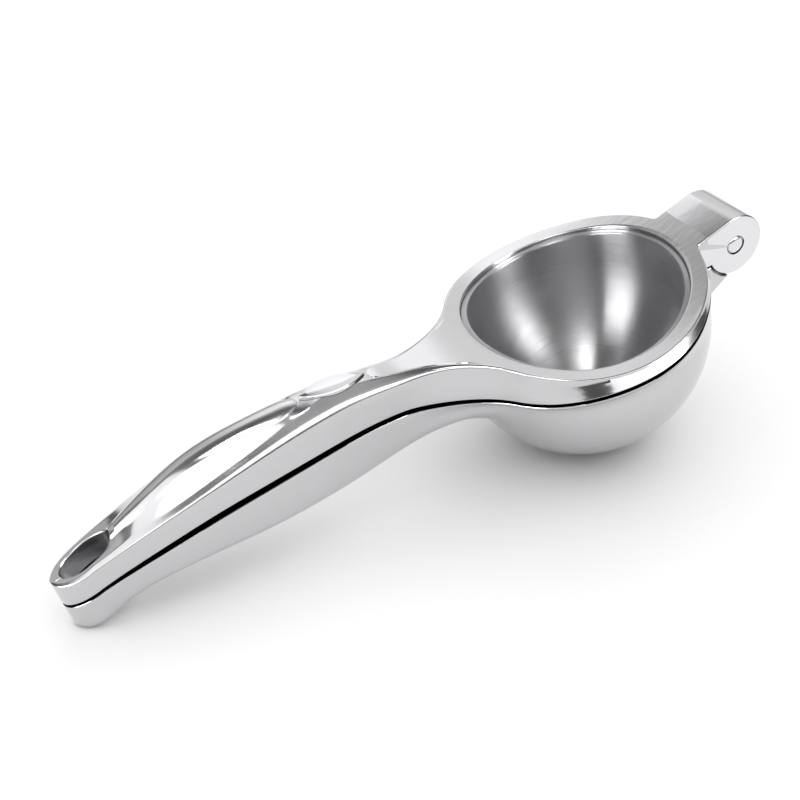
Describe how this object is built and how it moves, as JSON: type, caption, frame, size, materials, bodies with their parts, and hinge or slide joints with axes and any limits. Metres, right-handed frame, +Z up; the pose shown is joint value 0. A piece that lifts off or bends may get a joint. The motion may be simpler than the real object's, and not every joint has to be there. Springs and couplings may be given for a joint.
{
  "type": "citrus press juicer",
  "caption": "Hand citrus press: two long polished metal levers hinged at one end, with a deep press cup that closes into a drained bowl.",
  "frame": {"origin": "middle of the closed press on the table plane it lies on", "axes": "+X along the levers from the tip to the hinge, +Y across, +Z up; the closed press stands on its bowl and its tip"},
  "size_m": [0.2104, 0.076, 0.0605],
  "materials": {
    "polished_metal": "polished, bright",
    "turned_metal": "fine turning marks round the cup",
    "badge_metal": "polished, blank",
    "pin_steel": "satin, domed ends"
  },
  "bodies": {
    "lower_lever": {"lower_handle": "polished_metal"},
    "upper_lever": {"upper_handle": "polished_metal", "press_cup": "turned_metal", "badge_plate": "badge_metal", "hinge_pin": "pin_steel"}
  },
  "joints": [
    {"name": "lever_open", "type": "hinge", "parent": "lower_lever", "child": "upper_lever", "pos_m": [0.09632, 0, 0.0516], "axis": [0, 1, 0], "range_deg": [0, 100]}
  ]
}
